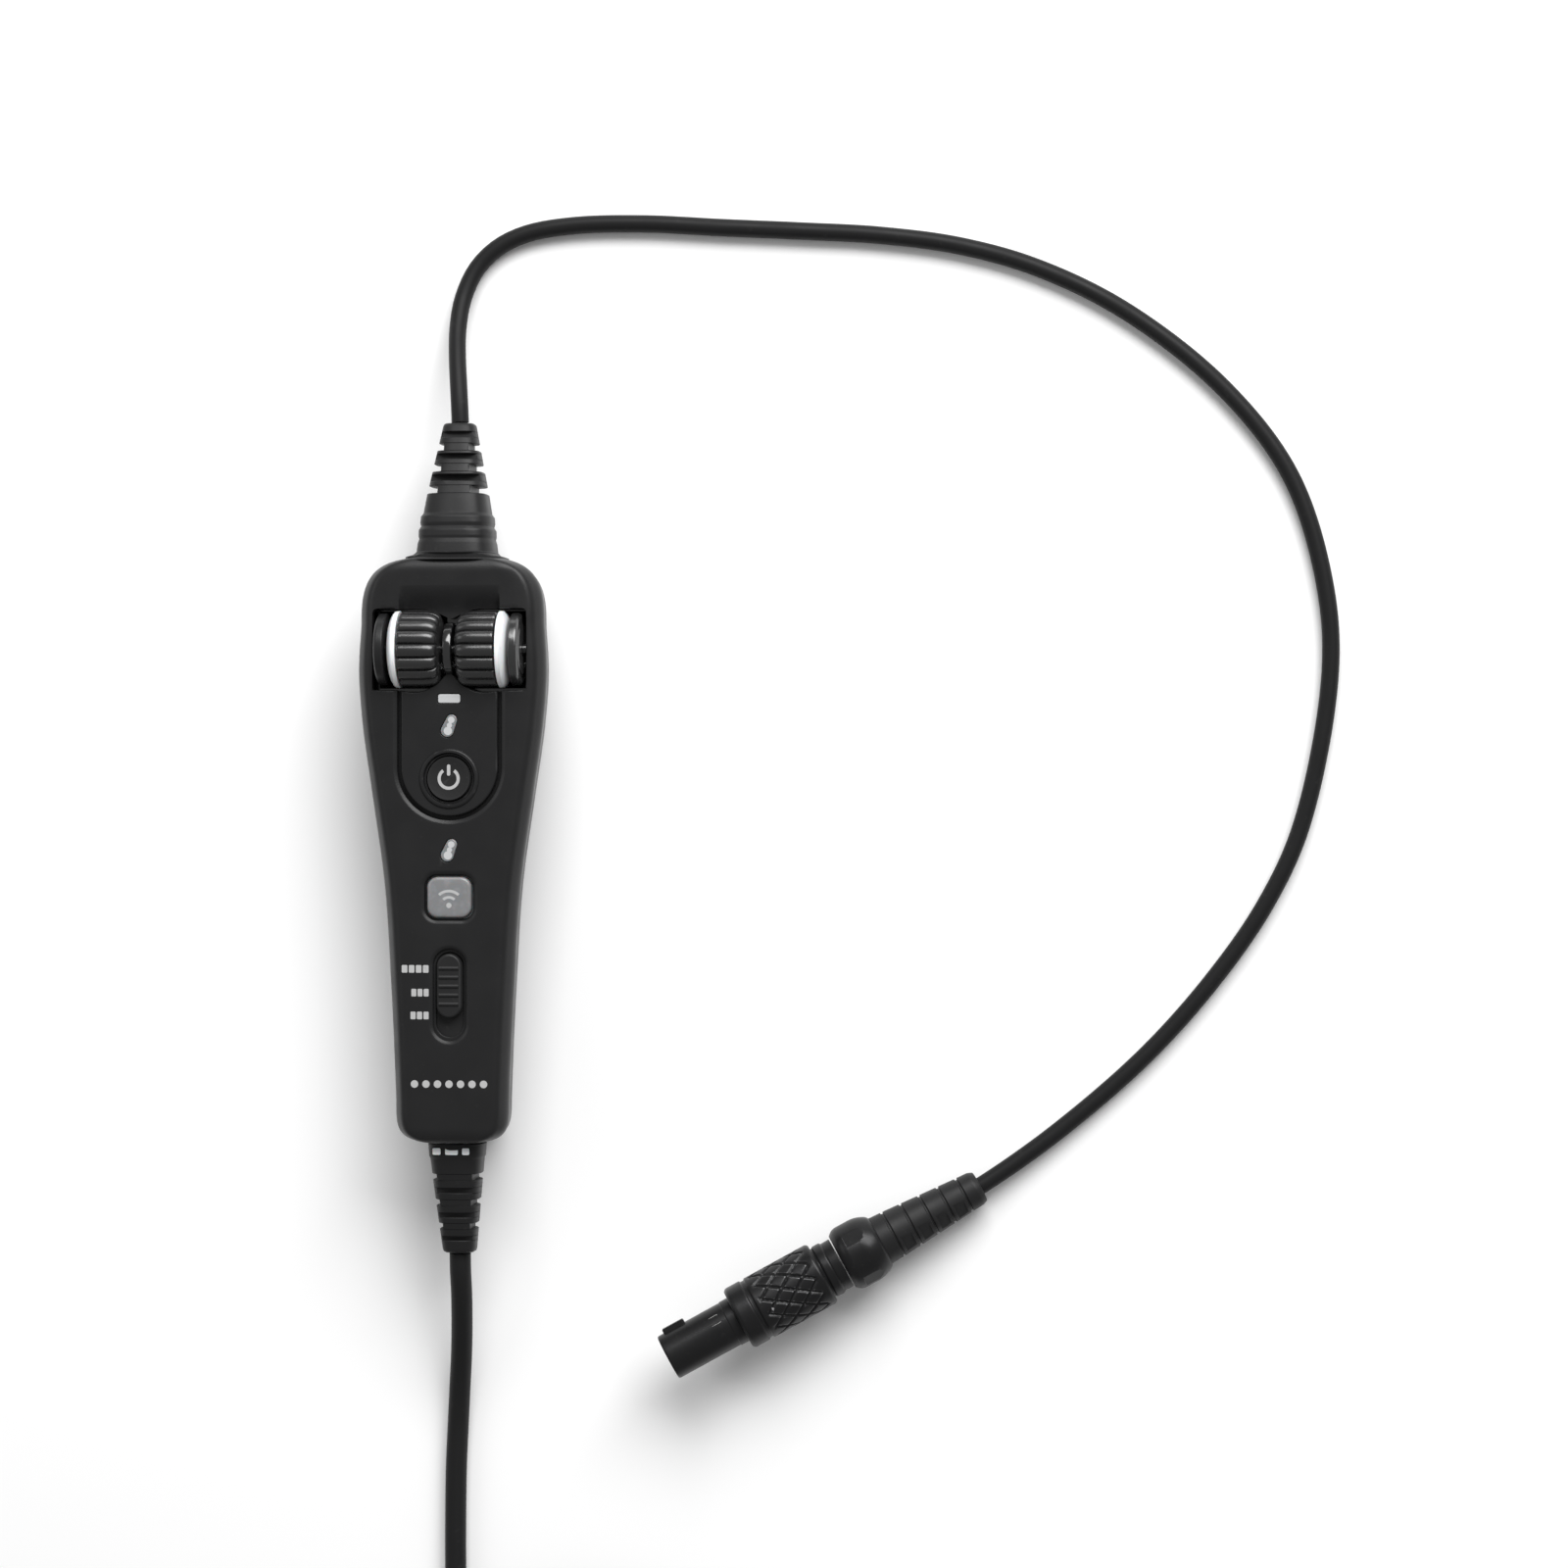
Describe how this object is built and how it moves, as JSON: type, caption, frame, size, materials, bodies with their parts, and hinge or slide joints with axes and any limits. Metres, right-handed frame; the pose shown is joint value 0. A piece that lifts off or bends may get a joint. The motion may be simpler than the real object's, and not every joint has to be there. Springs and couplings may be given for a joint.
{
  "type": "aviation headset in-line control module",
  "caption": "In-line control module of an aviation headset: thumb wheels, buttons, mode slider and battery bay, with a cord to a round push-pull plug and a coiled cord to a small connector.",
  "frame": {"origin": "on the surface that the module rests on, below the middle of the box round its housing, wheels and boots", "axes": "+Z out of the control face, +Y along the module towards the round plug's cord, +X to the right of someone reading the face"},
  "size_m": [0.2196, 0.3851, 0.0355],
  "materials": {
    "satin_black_plastic": "satin, fine moulded texture",
    "soft_black_rubber": "soft matt rubber",
    "gloss_black_plastic": "polished",
    "white_plastic": "smooth translucent white",
    "smoke_grey_plastic": "smooth translucent grey",
    "black_metal": "black anodised",
    "plated_steel": "nickel plated",
    "gold_contact": "gold plated",
    "cable_jacket": "satin cable jacket",
    "circuit_board": "solder mask green",
    "battery_sleeve": "printed sleeve, plain blue"
  },
  "bodies": {
    "module": {"audio_processor": "satin_black_plastic", "battery_bay": "satin_black_plastic", "battery_contact": "plated_steel", "battery_left": "battery_sleeve", "battery_right": "battery_sleeve", "battery_spring_left": "plated_steel", "battery_spring_right": "plated_steel", "bottom_boot": "soft_black_rubber", "case_screw_1": "plated_steel", "case_screw_2": "plated_steel", "case_screw_3": "plated_steel", "case_screw_4": "plated_steel", "connector_boot": "soft_black_rubber", "connector_nose": "black_metal", "connector_shell": "black_metal", "control_panel": "satin_black_plastic", "front_case": "satin_black_plastic", "headset_cord": "cable_jacket", "headset_cord_coil": "cable_jacket", "headset_cord_tail": "cable_jacket", "main_board": "circuit_board", "plug_boot": "soft_black_rubber", "plug_collet_nut": "black_metal", "plug_cord": "cable_jacket", "plug_insert": "satin_black_plastic", "plug_nose": "black_metal", "plug_pin_1": "gold_contact", "plug_pin_2": "gold_contact", "plug_pin_3": "gold_contact", "plug_pin_4": "gold_contact", "plug_pin_5": "gold_contact", "plug_pin_6": "gold_contact", "power_light_lens": "white_plastic", "power_switch": "plated_steel", "radio_shield": "plated_steel", "rear_case": "satin_black_plastic", "slide_switch": "plated_steel", "status_bar_lens": "white_plastic", "top_boot": "soft_black_rubber", "volume_pot_left": "gloss_black_plastic", "volume_pot_right": "gloss_black_plastic", "wheel_axle": "plated_steel", "wheel_cradle": "satin_black_plastic", "wireless_light_lens": "white_plastic", "wireless_switch": "plated_steel"},
    "left_wheel": {"wheel_left": "soft_black_rubber", "wheel_cap_left": "white_plastic"},
    "right_wheel": {"wheel_right": "soft_black_rubber", "wheel_cap_right": "white_plastic"},
    "power_key": {"power_button": "soft_black_rubber"},
    "wireless_key": {"wireless_button": "smoke_grey_plastic"},
    "slider": {"mode_slider": "soft_black_rubber"},
    "door": {"battery_door": "satin_black_plastic"},
    "release_sleeve": {"plug_sleeve": "black_metal"}
  },
  "joints": [
    {"name": "left_wheel_turn", "type": "hinge", "parent": "module", "child": "left_wheel", "pos_m": [-0.0065, 0.0423, 0.0269], "axis": [1, 0, 0], "range_deg": [-135, 135]},
    {"name": "right_wheel_turn", "type": "hinge", "parent": "module", "child": "right_wheel", "pos_m": [0.0065, 0.0423, 0.0269], "axis": [1, 0, 0], "range_deg": [-135, 135]},
    {"name": "power_button_press", "type": "slide", "parent": "module", "child": "power_key", "axis": [0, 0, -1], "range_m": [0, 0.0007], "stiffness_N_per_m": 2500},
    {"name": "wireless_button_press", "type": "slide", "parent": "module", "child": "wireless_key", "axis": [0, 0, -1], "range_m": [0, 0.0007], "stiffness_N_per_m": 2500},
    {"name": "mode_slider_shift", "type": "slide", "parent": "module", "child": "slider", "axis": [0, -1, 0], "range_m": [0, 0.004]},
    {"name": "battery_door_slide", "type": "slide", "parent": "module", "child": "door", "axis": [0, -1, 0], "range_m": [0, 0.012]},
    {"name": "sleeve_release", "type": "slide", "parent": "module", "child": "release_sleeve", "axis": [0.869, 0.4758, -0.1357], "range_m": [0, 0.003], "stiffness_N_per_m": 1500, "springref_m": -0.001}
  ]
}
